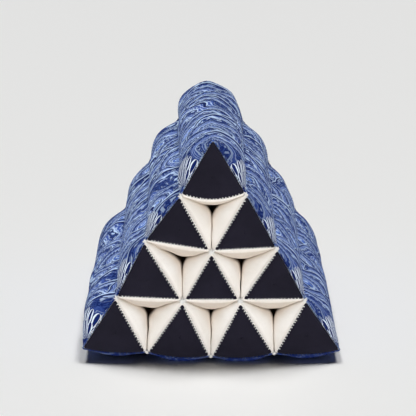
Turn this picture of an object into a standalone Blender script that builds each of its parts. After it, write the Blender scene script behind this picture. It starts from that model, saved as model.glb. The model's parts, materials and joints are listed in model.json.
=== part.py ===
"""Triangle floor cushion: ten stuffed channels, their end caps and a printed cover.

Metres, +Z up. X runs across the base and Y along the channels, with the front at -Y.
The origin is on the floor under the middle of the cushion.
"""

import math
from collections import namedtuple

import bpy
import numpy as np

ROWS = 4
CHANNEL_SIDE = 0.100  # seam to seam across one channel
ROW_RISE = 0.0857  # from one row of seams to the next
LENGTH = 0.490  # from the front seams to the back seams
BASE_LIFT = 0.018  # the lowest row of seams above the floor

POCKET_CROWN = 0.021  # how far a channel's wall swells into the open pocket beside it
POCKET_SWELL = 0.024  # depth behind the end at which that swell is full
OUTER_SWELL = 0.026  # depth behind the end at which the outer swell is full
RIDGE_SAG = 0.003  # how far the ridge drops between the ends
TOP_CAP_BOW = 0.007  # how far the lower edge of the top cap bows down
END_DOME = 0.003  # how far the stuffing pushes out the middle of a channel's end

CLOTH = 0.0012  # thickness of the cover and of the caps
COVER_GAP = 0.0008  # between the walls that the seams draw and the cover
CAP_GAP = 0.0004  # between a channel's end and its cap
CORNER_INSET = 0.0003  # how far a channel's corners stay inside the seam lines
CAP_INSET = 0.0018  # the rim of channel cloth that shows round a cap

WALL_STEPS = 7  # facets across one channel wall
END_DEPTHS = (0.0, 0.004, 0.012, 0.026)  # rings of points behind each end

# How far each seam has settled away from the even lattice, in millimetres:
# sideways (+X) and upwards (+Z), at the front and at the back.
Settle = namedtuple("Settle", "row place front_x front_z back_x back_z")
SETTLED_SEAMS = (
    Settle(0, 0, 2, 2, -4, -21),
    Settle(1, 0, 2, -1, -4, -5),
    Settle(1, 1, 3, 1, 4, -6),
    Settle(2, 0, -3, 11, -4, 5),
    Settle(2, 1, 0, -6, 0, -3),
    Settle(2, 2, 1, -1, 2, 0),
    Settle(3, 0, 1, 4, -1, 4),
    Settle(3, 1, 5, -1, 1, 0),
    Settle(3, 2, -5, -1, -1, 0),
    Settle(3, 3, -4, 0, 0, 0),
    Settle(4, 0, -1, 5, -1, 2),
    Settle(4, 1, -2, -1, 0, -2),
    Settle(4, 2, -1, -8, 0, -4),
    Settle(4, 3, -1, -3, 0, -2),
    Settle(4, 4, 1, 2, -5, 2),
)
SETTLE_OF = {(seam.row, seam.place): seam for seam in SETTLED_SEAMS}

# How far each outer wall of a row swells beyond its seams, in millimetres, at the front and
# at the back. The base walls are flattened where they would reach below the floor.
Lobe = namedtuple("Lobe", "row side front back")
LOBES = (
    Lobe(1, "left", 15, 15),
    Lobe(1, "right", 15, 15),
    Lobe(2, "left", 12, 12),
    Lobe(2, "right", 10, 10),
    Lobe(3, "left", 12, 12),
    Lobe(3, "right", 9, 9),
    Lobe(4, "left", 19, 12),
    Lobe(4, "right", 7, 6),
    Lobe(4, "base", 20, 20),
)
LOBE_OF = {(lobe.row, lobe.side): lobe for lobe in LOBES}

Finish = namedtuple("Finish", "name colour roughness")
CREAM = Finish("cream_cotton", (0.80, 0.72, 0.60), 0.90)
NAVY = Finish("black_navy_cotton", (0.018, 0.016, 0.026), 0.85)
PRINT = Finish("blue_print_cotton", (0.13, 0.18, 0.40), 0.80)


def clear_scene():
    for thing in list(bpy.data.objects):
        bpy.data.objects.remove(thing, do_unlink=True)


def material(finish):
    made = bpy.data.materials.new(finish.name)
    made.use_nodes = True
    shader = made.node_tree.nodes["Principled BSDF"]
    shader.inputs["Base Color"].default_value = (*finish.colour, 1.0)
    shader.inputs["Roughness"].default_value = finish.roughness
    shader.inputs["Metallic"].default_value = 0.0
    return made


def add_object(name, points, faces, finish):
    mesh = bpy.data.meshes.new(name)
    mesh.from_pydata([tuple(point) for point in points], [], faces)
    mesh.materials.append(material(finish))
    mesh.shade_smooth()
    piece = bpy.data.objects.new(name, mesh)
    bpy.context.scene.collection.objects.link(piece)
    return piece


def thicken(piece, even=True):
    """Gives a sheet its thickness on the side that its faces point to.

    An even thickness would draw a sharp fold out to a spike, so a sheet with one goes without.
    """
    wall = piece.modifiers.new("cloth", "SOLIDIFY")
    wall.thickness = CLOTH
    wall.offset = 1.0
    wall.use_even_offset = even


def stations():
    """The places along the cushion, as (Y, depth behind the nearer end, share of the length)."""
    places = [(depth, depth) for depth in END_DEPTHS]
    places += [(LENGTH - depth, depth) for depth in reversed(END_DEPTHS)]
    return [(at - LENGTH / 2, depth, at / LENGTH) for at, depth in places]


def swell(depth, reach):
    """0 at the end and 1 from the depth `reach` on, along a quarter of an ellipse."""
    left = max(0.0, 1.0 - depth / reach)
    return math.sqrt(1.0 - left * left)


def seam(row, place, depth, share):
    """(X, Z) of one corner seam of the lattice."""
    settle = SETTLE_OF[row, place]
    x = (place - row / 2) * CHANNEL_SIDE
    z = BASE_LIFT + (ROWS - row) * ROW_RISE
    x += 0.001 * (settle.front_x * (1 - share) + settle.back_x * share)
    z += 0.001 * (settle.front_z * (1 - share) + settle.back_z * share)
    if row == 0:
        z -= RIDGE_SAG * swell(depth, OUTER_SWELL)
    return np.array([x, z])


def half_angle(corner, one, other):
    """Half the angle between two directions that leave a corner."""
    a = (one - corner) / np.linalg.norm(one - corner)
    b = (other - corner) / np.linalg.norm(other - corner)
    return 0.5 * math.acos(float(np.clip(a @ b, -1.0, 1.0)))


def pocket_profile(along, width, start_slope, end_slope, crown):
    """Height of a wall that swells into a pocket, at shares `along` of its width.

    Near its seams the wall lies on the two lines that halve the pocket's corners, where
    it meets the next channel, and in the middle it is a parabola that touches them.
    """
    peak = width * start_slope * end_slope / (start_slope + end_slope)
    middle = end_slope / (start_slope + end_slope)
    off = np.where(along < middle, (middle - along) / middle, (along - middle) / (1 - middle))
    full = crown / peak
    if full <= 0.5:
        return crown * (1 - off**2)
    touching = 2 * (1 - full)
    return peak * np.where(off < touching, full - off**2 / (2 * touching), 1 - off)


def outer_profile(along, crown):
    """Height of a wall that swells outwards, as one parabola."""
    return crown * (1 - (2 * along - 1) ** 2)


def outer_crown(row, side, depth, share):
    """How far the middle of an outer wall stands out at one place along the cushion."""
    lobe = LOBE_OF[row, side]
    full = 0.001 * (lobe.front * (1 - share) + lobe.back * share)
    return full * swell(depth, OUTER_SWELL)


def third_seam(row, place, side):
    """The far seam of the pocket that a channel's wall looks into, or None for an outer wall."""
    far = {
        "left": (row - 1, place - 1),
        "base": (row + 1, place + 1),
        "right": (row - 1, place + 1),
    }[side]
    inside = 0 <= far[1] <= far[0] <= ROWS
    return far if inside and far[0] != 0 else None


def wall_heights(row, place, side, corners, depth, share, along):
    """Height of one wall of a channel over the straight line between its two corners."""
    start, end = corners
    far = third_seam(row, place, side)
    if far is None:
        return outer_profile(along, outer_crown(row, side, depth, share))
    tip = seam(*far, depth, share)
    start_slope = math.tan(half_angle(start, end, tip))
    end_slope = math.tan(half_angle(end, start, tip))
    flat = TOP_CAP_BOW if (row, side) == (1, "base") else 0.0
    crown = flat + (POCKET_CROWN - flat) * swell(depth, POCKET_SWELL)
    width = float(np.linalg.norm(end - start))
    return pocket_profile(along, width, start_slope, end_slope, crown)


def rest_on_floor(points, floor):
    """Flattens whatever would reach below the height `floor`."""
    points[:, 1] = np.maximum(points[:, 1], floor)
    return points


def channel_corners(row, place, depth, share):
    """The apex, left and right corner of a channel, drawn in from the seam lines."""
    lattice = [(row - 1, place), (row, place), (row, place + 1)]
    corners = np.array([seam(*at, depth, share) for at in lattice])
    inward = corners.mean(axis=0) - corners
    inward /= np.linalg.norm(inward, axis=1)[:, None]
    return corners + CORNER_INSET * inward


def channel_ring(row, place, depth, share):
    """The closed section of a channel: down its left wall, along its base and up its right wall."""
    corners = channel_corners(row, place, depth, share)
    along = np.arange(WALL_STEPS) / WALL_STEPS
    ring = []
    for index, side in enumerate(("left", "base", "right")):
        start = corners[index]
        end = corners[(index + 1) % 3]
        run = end - start
        outward = np.array([run[1], -run[0]]) / np.linalg.norm(run)
        height = wall_heights(row, place, side, (start, end), depth, share, along)
        ring.append(start + along[:, None] * run + height[:, None] * outward)
    floor = CLOTH + COVER_GAP + CORNER_INSET
    return rest_on_floor(np.concatenate(ring), floor)


def triangle_grid():
    """Weights of (apex, left, right) for the points of an end, row by row, and its faces."""
    steps = WALL_STEPS
    weights = []
    index = {}
    for down in range(steps + 1):
        for across in range(down + 1):
            index[down, across] = len(weights)
            weights.append((steps - down, down - across, across))
    faces = []
    for down in range(steps):
        for across in range(down + 1):
            low = index[down + 1, across]
            faces.append((index[down, across], low, low + 1))
            if across < down:
                faces.append((index[down, across], low + 1, index[down, across + 1]))
    return np.array(weights) / steps, faces


def end_points(corners, weights, bow):
    """(X, Z) of an end's points, its lower edge bowed down, and how far each one domes out."""
    flat = weights @ corners
    spread = np.maximum(weights[:, 1] + weights[:, 2], 1e-9)
    along = weights[:, 2] / spread
    run = corners[2] - corners[1]
    downward = np.array([run[1], -run[0]]) / np.linalg.norm(run)
    drop = bow * (1 - (2 * along - 1) ** 2) * spread**2
    dome = END_DOME * 27 * weights.prod(axis=1)
    return flat + drop[:, None] * downward, dome


def ring_index(down, across):
    """The place on a channel's ring of a point on the edge of its end, or None inside it."""
    if across == 0:
        return down
    if down == WALL_STEPS:
        return WALL_STEPS + across
    if across == down:
        return (3 * WALL_STEPS - down) % (3 * WALL_STEPS)
    return None


def build_channel(row, place):
    size = 3 * WALL_STEPS
    points = []
    for y, depth, share in stations():
        for x, z in channel_ring(row, place, depth, share):
            points.append((x, y, z))
    faces = []
    for band in range(len(stations()) - 1):
        for k in range(size):
            here = band * size + k
            beside = band * size + (k + 1) % size
            faces.append((here, here + size, beside + size))
            faces.append((here, beside + size, beside))
    weights, patch = triangle_grid()
    bow = TOP_CAP_BOW if row == 1 else 0.0
    last = (len(stations()) - 1) * size
    for share, first, outward in ((0.0, 0, -1), (1.0, last, 1)):
        flat, dome = end_points(channel_corners(row, place, 0.0, share), weights, bow)
        index = []
        for (x, z), out, weight in zip(flat, dome, weights):
            down = WALL_STEPS - round(weight[0] * WALL_STEPS)
            on_ring = ring_index(down, round(weight[2] * WALL_STEPS))
            if on_ring is None:
                index.append(len(points))
                points.append((x, outward * (LENGTH / 2 + out), z))
            else:
                index.append(first + on_ring)
        for face in patch:
            turned = face if outward < 0 else face[::-1]
            faces.append(tuple(index[k] for k in turned))
    add_object(f"channel_{row}_{place}", points, faces, CREAM)


def build_cap(row, place, end):
    outward = -1 if end == "front" else 1
    share = 0.0 if end == "front" else 1.0
    corners = channel_corners(row, place, 0.0, share)
    sides = np.linalg.norm(corners - np.roll(corners, 1, axis=0), axis=1)
    run, climb = corners[1] - corners[0], corners[2] - corners[0]
    area = 0.5 * abs(run[0] * climb[1] - run[1] * climb[0])
    inner_radius = 2 * area / sides.sum()
    kept = 1 - CAP_INSET / inner_radius
    weights, faces = triangle_grid()
    drawn_in = weights * kept + (1 - kept) / 3
    flat, dome = end_points(corners, drawn_in, TOP_CAP_BOW if row == 1 else 0.0)
    points = [
        (x, outward * (LENGTH / 2 + CAP_GAP + out), z) for (x, z), out in zip(flat, dome)
    ]
    if outward > 0:
        faces = [face[::-1] for face in faces]
    thicken(add_object(f"cap_{end}_{row}_{place}", points, faces, NAVY))


def offset_path(path, distance):
    """A section moved sideways to its left by an even distance, with mitred corners."""
    run = np.diff(path, axis=0)
    normal = np.stack([-run[:, 1], run[:, 0]], axis=1)
    normal /= np.linalg.norm(normal, axis=1)[:, None]
    before = np.vstack([normal[:1], normal])
    after = np.vstack([normal, normal[-1:]])
    mitre = before + after
    mitre *= 2 / (mitre**2).sum(axis=1)[:, None]
    return path + distance * mitre


def slope_path(depth, share):
    """The section up the left slope, over the ridge and down the right slope."""
    along = np.arange(WALL_STEPS) / WALL_STEPS
    climb = [((row, 0), (row - 1, 0), row, "left") for row in range(ROWS, 0, -1)]
    fall = [((row - 1, row - 1), (row, row), row, "right") for row in range(1, ROWS + 1)]
    path = []
    for start_at, end_at, row, side in climb + fall:
        start = seam(*start_at, depth, share)
        run = seam(*end_at, depth, share) - start
        outward = np.array([-run[1], run[0]]) / np.linalg.norm(run)
        height = outer_profile(along, outer_crown(row, side, depth, share))
        path.append(start + along[:, None] * run + height[:, None] * outward)
    path.append(seam(ROWS, ROWS, depth, share)[None])
    return offset_path(np.concatenate(path), COVER_GAP)


def base_path(depth, share):
    """The section under the lowest channels, from the right corner to the left one."""
    along = np.arange(WALL_STEPS) / WALL_STEPS
    path = []
    for place in range(ROWS, 0, -1):
        start = seam(ROWS, place, depth, share)
        run = seam(ROWS, place - 1, depth, share) - start
        outward = np.array([-run[1], run[0]]) / np.linalg.norm(run)
        height = outer_profile(along, outer_crown(ROWS, "base", depth, share))
        path.append(start + along[:, None] * run + height[:, None] * outward)
    path.append(seam(ROWS, 0, depth, share)[None])
    flattened = rest_on_floor(np.concatenate(path), CLOTH + COVER_GAP)
    return offset_path(flattened, COVER_GAP)


def build_cover(name, path_at, even):
    """One sheet through the sections that `path_at` gives along the cushion.

    Its points run the other way round the cushion from a channel's, so the other diagonal
    splits each facet the way the channel below it is split.
    """
    points = []
    for y, depth, share in stations():
        for x, z in path_at(depth, share):
            points.append((x, y, z))
    width = len(points) // len(stations())
    faces = []
    for band in range(len(stations()) - 1):
        for k in range(width - 1):
            here = band * width + k
            faces.append((here, here + 1, here + width))
            faces.append((here + 1, here + 1 + width, here + width))
    thicken(add_object(name, points, faces, PRINT), even)


def main():
    clear_scene()
    for row in range(1, ROWS + 1):
        for place in range(row):
            build_channel(row, place)
            build_cap(row, place, "front")
            build_cap(row, place, "back")
    build_cover("cover_slopes", slope_path, even=False)
    build_cover("cover_base", base_path, even=True)


main()
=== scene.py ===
"""Looks of a triangle floor cushion: stuffed channels, stitched caps and a printed cover.

Metres, +Z up. X runs across the base and Y along the channels, with the front at -Y.
"""

from __future__ import annotations

import json
import logging
import math
from dataclasses import dataclass
from enum import Enum
from typing import Any, Sequence

import bpy
import numpy as np
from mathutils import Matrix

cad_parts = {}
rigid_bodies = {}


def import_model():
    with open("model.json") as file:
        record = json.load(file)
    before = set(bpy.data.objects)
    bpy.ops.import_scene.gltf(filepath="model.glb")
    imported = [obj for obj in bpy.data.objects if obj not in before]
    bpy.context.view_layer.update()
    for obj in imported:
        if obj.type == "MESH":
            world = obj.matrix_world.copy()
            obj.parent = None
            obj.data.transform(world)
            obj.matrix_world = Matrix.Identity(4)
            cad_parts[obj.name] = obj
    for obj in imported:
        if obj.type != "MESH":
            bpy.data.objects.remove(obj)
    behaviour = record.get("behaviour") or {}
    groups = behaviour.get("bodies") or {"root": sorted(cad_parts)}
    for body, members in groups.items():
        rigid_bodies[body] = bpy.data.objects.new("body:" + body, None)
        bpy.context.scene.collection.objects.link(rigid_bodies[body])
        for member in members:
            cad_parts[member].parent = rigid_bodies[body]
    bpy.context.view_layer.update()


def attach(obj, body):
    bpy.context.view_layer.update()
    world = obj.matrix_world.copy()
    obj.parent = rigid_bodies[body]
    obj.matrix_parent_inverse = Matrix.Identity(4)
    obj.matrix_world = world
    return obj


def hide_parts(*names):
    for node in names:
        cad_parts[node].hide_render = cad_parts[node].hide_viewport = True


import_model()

LOG = logging.getLogger("cushion")
Array = np.ndarray
Colour = tuple[float, float, float]

MM = 0.001
ROOT = "root"


class Side(Enum):
    """One wall of a channel, named by where it lies in the triangle."""

    LEFT = 0
    BASE = 1
    RIGHT = 2


class End(Enum):
    """One end of the cushion, with the way along Y that it faces."""

    FRONT = -1
    BACK = 1


@dataclass(frozen=True)
class Settle:
    """How far one seam has settled away from the even lattice, in millimetres."""

    row: int
    place: int
    front: tuple[float, float]
    back: tuple[float, float]


@dataclass(frozen=True)
class Lobe:
    """How far one outer wall swells beyond its seams, and bows at its very ends, in millimetres."""

    row: int
    place: int
    side: Side
    front: float
    back: float
    bow: float = 0.0


SETTLED = (
    Settle(0, 0, front=(2, 2), back=(-8, -22)),
    Settle(1, 0, front=(2, -1), back=(-7, -5)),
    Settle(1, 1, front=(3, 1), back=(4, -6)),
    Settle(2, 0, front=(-3, 11), back=(-8, 5)),
    Settle(2, 1, front=(0, -6), back=(0, -3)),
    Settle(2, 2, front=(1, -1), back=(2, 0)),
    Settle(3, 0, front=(1, 4), back=(-1, 4)),
    Settle(3, 1, front=(5, -1), back=(1, 0)),
    Settle(3, 2, front=(-5, -1), back=(-1, 0)),
    Settle(3, 3, front=(-4, 0), back=(0, 0)),
    Settle(4, 0, front=(-3, 5), back=(-2, 2)),
    Settle(4, 1, front=(-2, -1), back=(0, -2)),
    Settle(4, 2, front=(-1, -8), back=(0, -4)),
    Settle(4, 3, front=(-1, -3), back=(0, -2)),
    Settle(4, 4, front=(2, 2), back=(-5, 2)),
)

LOBES = (
    Lobe(1, 0, Side.LEFT, 20, 21),
    Lobe(1, 0, Side.RIGHT, 20, 21),
    Lobe(2, 0, Side.LEFT, 14, 19),
    Lobe(2, 1, Side.RIGHT, 13, 14),
    Lobe(3, 0, Side.LEFT, 15, 16),
    Lobe(3, 2, Side.RIGHT, 12, 12),
    Lobe(4, 0, Side.LEFT, 25, 19),
    Lobe(4, 3, Side.RIGHT, 14, 12),
    Lobe(4, 0, Side.BASE, 13, 24, bow=4.0),
    Lobe(4, 1, Side.BASE, 18, 24, bow=5.5),
    Lobe(4, 2, Side.BASE, 18, 24, bow=5.5),
    Lobe(4, 3, Side.BASE, 15, 24, bow=4.5),
)


def swell(depth: Array, reach: float) -> Array:
    """Rises from 0 at an end to 1 at the depth `reach`, along a quarter of an ellipse.

    Args:
        depth: distance behind the nearer end.
        reach: distance at which the swell is full.

    Returns:
        sqrt(1 - (1 - depth / reach)^2), held at 1 beyond the reach and at 0 before the end.
    """
    left = np.clip(1.0 - depth / reach, 0.0, 1.0)
    return np.sqrt(1.0 - left * left)


def soft_noise(points: Array, wavelength: float, seed: int, waves: int = 9) -> Array:
    """Smooth, seeded unevenness with a standard deviation of about 1.

    Args:
        points: places in space, with the coordinates in the last axis.
        wavelength: typical distance from bump to bump.
        seed: picks the directions and phases.
        waves: how many plane waves are added up.

    Returns:
        The sum of plane waves of random direction, length and phase, scaled by sqrt(2 / waves).
    """
    draw = np.random.default_rng(seed)
    ways = draw.normal(size=(waves, points.shape[-1]))
    ways /= np.linalg.norm(ways, axis=1)[:, None]
    pace = 2 * math.pi / wavelength * draw.uniform(0.7, 1.4, waves)
    phase = draw.uniform(0, 2 * math.pi, waves)
    angle = points @ (ways * pace[:, None]).T + phase
    return np.sin(angle).sum(axis=-1) * math.sqrt(2 / waves)


def unit(vectors: Array) -> Array:
    """Returns the vectors of the last axis, each with length 1."""
    return vectors / np.maximum(np.linalg.norm(vectors, axis=-1, keepdims=True), 1e-12)


def end_stations(length: float, count: int, crowding: float) -> Array:
    """Places along Y, closer together near the two ends.

    Args:
        length: distance from the first place to the last.
        count: how many places.
        crowding: 0 for even steps, up to almost 1 for very fine steps at the ends.

    Returns:
        length * (t - 1/2 - crowding * sin(2 pi t) / (2 pi)) for even t from 0 to 1.
    """
    t = np.linspace(0, 1, count)
    return length * (t - 0.5 - crowding * np.sin(2 * math.pi * t) / (2 * math.pi))


@dataclass(frozen=True)
class SeamLattice:
    """The corner seams that run along the cushion, and the walls that swell between them."""

    side: float = 0.100
    rise: float = 0.0857
    rows: int = 4
    lift: float = 0.018
    length: float = 0.490
    pocket_crown: float = 0.0220
    side_crown: float = 0.0258
    pocket_reach: float = 0.027
    outer_reach: float = 0.024
    base_reach: float = 0.012
    top_bow: float = 0.0095
    ridge_rise: tuple[float, float] = (0.001, 0.006)

    def depth(self, y: Array) -> Array:
        """Returns the distance of each Y behind the nearer end, negative in front of it."""
        return self.length / 2 - np.abs(y)

    def share(self, y: Array) -> Array:
        """Returns 0 for a Y at the front end, 1 at the back end."""
        return y / self.length + 0.5

    def seam(self, row: int, place: int, y: Array) -> Array:
        """One corner seam.

        Args:
            row: 0 at the ridge, counted downwards.
            place: 0 at the left, counted to the right.
            y: places along the cushion.

        Returns:
            (X, Z) at each Y: the even lattice plus what the seam has settled.
        """
        settle = next(s for s in SETTLED if (s.row, s.place) == (row, place))
        share = self.share(y)[:, None]
        even = np.array([
            (place - row / 2) * self.side,
            self.lift + (self.rows - row) * self.rise,
        ])
        moved = np.array(settle.front) * (1 - share) + np.array(settle.back) * share
        at = even + MM * moved
        if row == 0:
            front, back = self.ridge_rise
            rise = front * (1 - share[:, 0]) + back * share[:, 0]
            at[:, 1] += rise * swell(self.depth(y), self.outer_reach)
        return at

    def tip(self, row: int, place: int, side: Side) -> tuple[int, int] | None:
        """Finds the far seam of the pocket that a wall looks into.

        Args:
            row: the channel's row, from 1.
            place: the channel's place in its row, from 0.
            side: which of its walls.

        Returns:
            The seam's row and place, or None for an outer wall.
        """
        far = {
            Side.LEFT: (row - 1, place - 1),
            Side.BASE: (row + 1, place + 1),
            Side.RIGHT: (row - 1, place + 1),
        }[side]
        return far if 0 <= far[1] <= far[0] <= self.rows and far[0] else None

    def ends_of(self, row: int, place: int, side: Side) -> tuple[tuple[int, int], tuple[int, int]]:
        """Returns the two seams of a wall, going down the left, along the base and up the right."""
        corners = ((row - 1, place), (row, place), (row, place + 1))
        return corners[side.value], corners[(side.value + 1) % 3]

    def lobe(self, row: int, place: int, side: Side) -> Lobe:
        """Returns the swelling of one outer wall."""
        return next(b for b in LOBES if (b.row, b.place, b.side) == (row, place, side))

    def bow(self, row: int, place: int, side: Side) -> float:
        """Finds how far the edge of a wall already bows out at the very end.

        Args:
            row: the channel's row, from 1.
            place: the channel's place in its row, from 0.
            side: which of its walls.

        Returns:
            The bow's height, 0 for all but the base walls of the first and the last row.
        """
        if (row, side) == (1, Side.BASE):
            return self.top_bow
        return MM * self.lobe(row, place, side).bow if (row, side) == (self.rows, Side.BASE) else 0.0

    def pocket_height(self, along: Array, slopes: tuple[Array, Array], width: Array,
                      crown: Array) -> Array:
        """Height of a wall that swells into a pocket until it meets its neighbours.

        Args:
            along: shares of the wall's width.
            slopes: tangents of half the pocket's angle at the wall's two seams.
            width: distance between the seams.
            crown: height in the middle.

        Returns:
            A parabola in the middle. Where the crown is over half the pocket's inner radius,
            the wall runs on from the parabola along the lines that halve the pocket's corners.
        """
        start, end = slopes
        peak = width * start * end / (start + end)
        middle = end / (start + end)
        off = np.where(along < middle, (middle - along) / middle, (along - middle) / (1 - middle))
        full = crown / peak
        touching = np.maximum(2 * (1 - full), 1e-6)
        tight = np.where(off < touching, full - off**2 / (2 * touching), 1 - off)
        return peak * np.where(full <= 0.5, full * (1 - off**2), tight)

    def wall(self, row: int, place: int, side: Side, y: Array, along: Array) -> Array:
        """One wall of a channel as a surface of two parameters.

        Args:
            row: the channel's row, from 1.
            place: the channel's place in its row, from 0.
            side: which of its walls.
            y: places along the cushion.
            along: shares of the way from the wall's first seam to its second.

        Returns:
            (X, Z) for each Y and share: the straight line between the two seams, plus the
            wall's height along its outward normal.
        """
        first, second = self.ends_of(row, place, side)
        start, end = self.seam(*first, y), self.seam(*second, y)
        run = end - start
        width = np.linalg.norm(run, axis=1)[:, None]
        normal = unit(np.stack([run[:, 1], -run[:, 0]], axis=1))
        depth = self.depth(y)[:, None]
        share = self.share(y)[:, None]
        far = self.tip(row, place, side)
        if far is None:
            lobe = self.lobe(row, place, side)
            crown = MM * (lobe.front * (1 - share) + lobe.back * share)
            reach = self.base_reach if side is Side.BASE else self.outer_reach
            flat = self.bow(row, place, side)
            crown = flat + (crown - flat) * swell(depth, reach)
            height = crown * (1 - (2 * along - 1) ** 2)
        else:
            tip = self.seam(*far, y)
            slopes = tuple(
                np.tan(0.5 * np.arccos((unit(a) * unit(b)).sum(axis=1)))[:, None]
                for a, b in ((run, tip - start), (-run, tip - end))
            )
            flat = self.bow(row, place, side)
            full = self.pocket_crown if side is Side.BASE else self.side_crown
            crown = flat + (full - flat) * swell(depth, self.pocket_reach)
            height = self.pocket_height(along, slopes, width, crown)
        line = start[:, None] + along[None, :, None] * run[:, None]
        return line + height[..., None] * normal[:, None]


LATTICE = SeamLattice()


def to_space(section: Array, y: Array) -> Array:
    """Returns (X, Y, Z) points for sections given as (X, Z) at each Y."""
    tall = np.broadcast_to(y[:, None], section.shape[:2])
    return np.stack([section[..., 0], tall, section[..., 1]], axis=-1)


def surface_normals(points: Array, wrap: bool) -> Array:
    """Unit normals of a grid, from its rows and columns.

    Args:
        points: a grid of places, rows by columns.
        wrap: whether the last column joins the first.

    Returns:
        The cross product of the step along the columns and the step along the rows.
    """
    if wrap:
        across = np.roll(points, -1, axis=1) - np.roll(points, 1, axis=1)
    else:
        across = np.gradient(points, axis=1)
    return unit(np.cross(np.gradient(points, axis=0), across))


def tidy_mesh(name: str, points: Array, faces: list, corner_uv: Array) -> bpy.types.Object:
    """Makes a smooth-shaded object.

    Args:
        name: the object's name.
        points: its vertices, with the coordinates in the last axis.
        faces: lists of vertex numbers.
        corner_uv: the UV of each face corner, face by face.

    Returns:
        The object, linked to the scene.
    """
    mesh = bpy.data.meshes.new(name)
    mesh.from_pydata(points.reshape(-1, 3), [], faces)
    layer = mesh.uv_layers.new(name="cloth")
    layer.data.foreach_set("uv", np.ascontiguousarray(corner_uv, dtype=np.float32).ravel())
    mesh.shade_smooth()
    piece = bpy.data.objects.new(name, mesh)
    bpy.context.scene.collection.objects.link(piece)
    return piece


def grid_piece(name: str, points: Array, wrap: bool = False, poles: bool = False,
               spans: tuple[Array, Array] | None = None) -> bpy.types.Object:
    """A mesh from a grid of points, its faces turned so that rows x columns face outwards.

    Args:
        name: the piece's name.
        points: a grid of places, rows by columns.
        wrap: whether the last column joins the first.
        poles: whether the first and last row close on one point each.
        spans: UV of each row and of each column boundary, measured on the grid if left out.

    Returns:
        The piece.
    """
    rows, columns = points.shape[:2]
    if spans is None:
        down = np.linalg.norm(np.diff(points, axis=0), axis=2).mean(axis=1)
        looped = np.concatenate([points, points[:, :1]], axis=1) if wrap else points
        over = np.linalg.norm(np.diff(looped, axis=1), axis=2).max(axis=0)
        spans = (np.concatenate([[0], down.cumsum()]), np.concatenate([[0], over.cumsum()]))
    v_at, u_at = spans
    last = columns if wrap else columns - 1
    i, k = np.meshgrid(np.arange(rows - 1), np.arange(last), indexing="ij")
    i, k = i.ravel(), k.ravel()
    beside = (k + 1) % columns
    quads = np.stack(
        [i * columns + k, (i + 1) * columns + k, (i + 1) * columns + beside, i * columns + beside],
        axis=1,
    )
    corner_uv = np.stack([
        np.stack([u_at[k], v_at[i]], 1),
        np.stack([u_at[k], v_at[i + 1]], 1),
        np.stack([u_at[k + 1], v_at[i + 1]], 1),
        np.stack([u_at[k + 1], v_at[i]], 1),
    ], axis=1).reshape(-1, 2)
    faces = quads.tolist()
    flat = points.reshape(-1, 3)
    if poles:
        first, final = rows * columns, rows * columns + 1
        flat = np.concatenate([flat, points[:1].mean(axis=1), points[-1:].mean(axis=1)])
        ring = np.arange(columns)
        ahead = (ring + 1) % columns
        tail = (rows - 1) * columns
        fans = [
            np.stack([np.full(columns, first), ring, ahead], 1),
            np.stack([np.full(columns, final), tail + ahead, tail + ring], 1),
        ]
        faces += np.concatenate(fans).tolist()
        middle = 0.5 * (u_at[:-1] + u_at[1:])
        for v, a, b in ((v_at[0], u_at[:-1], u_at[1:]), (v_at[-1], u_at[1:], u_at[:-1])):
            level = np.full(columns, v)
            fan_uv = [np.stack([x, level], 1) for x in (middle, a, b)]
            corner_uv = np.concatenate([corner_uv, np.stack(fan_uv, 1).reshape(-1, 2)])
    return tidy_mesh(name, flat, faces, corner_uv)


def thread_piece(name: str, paths: Array, radius: float, around: int = 6) -> bpy.types.Object:
    """Short threads joined into one mesh, each a closed tube along its path.

    Args:
        name: the piece's name.
        paths: threads by points by (X, Y, Z).
        radius: half the thread's thickness in its middle.
        around: how many sides each tube has.

    Returns:
        The piece: circles of the radius round each path point, drawn in at both tips.
    """
    count, steps = paths.shape[:2]
    tangent = unit(np.gradient(paths, axis=1))
    first = unit(np.cross(tangent, np.array([0.31, 0.12, 0.94])))
    second = np.cross(tangent, first)
    turn = np.arange(around) * 2 * math.pi / around
    taper = np.ones(steps)
    taper[[0, -1]] = 0.25
    spoke = first[:, :, None] * np.cos(turn)[:, None] + second[:, :, None] * np.sin(turn)[:, None]
    points = paths[:, :, None] + radius * taper[None, :, None, None] * spoke
    t, s, a = np.meshgrid(np.arange(count), np.arange(steps - 1), np.arange(around), indexing="ij")
    here = (t * steps + s) * around
    b = (a + 1) % around
    quads = np.stack([here + a, here + b, here + around + b, here + around + a], -1).reshape(-1, 4)
    corner_uv = np.stack([
        np.stack([x / around, y / steps], -1)
        for x, y in ((a, s), (a + 1, s), (a + 1, s + 1), (a, s + 1))
    ], axis=-2).reshape(-1, 2)
    start = np.arange(count)[:, None] * steps * around + np.arange(around)[::-1]
    close = start[:, ::-1] + (steps - 1) * around
    faces = quads.tolist() + start.tolist() + close.tolist()
    corner_uv = np.concatenate([corner_uv, np.zeros((2 * count * around, 2))])
    return tidy_mesh(name, points, faces, corner_uv)


def give_thickness(piece: bpy.types.Object, thickness: float) -> None:
    """Gives a sheet its thickness.

    Args:
        piece: a single surface.
        thickness: how far the second surface lies behind the first one's faces.
    """
    wall = piece.modifiers.new("thickness", "SOLIDIFY")
    wall.thickness = thickness
    wall.offset = -1.0


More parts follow.
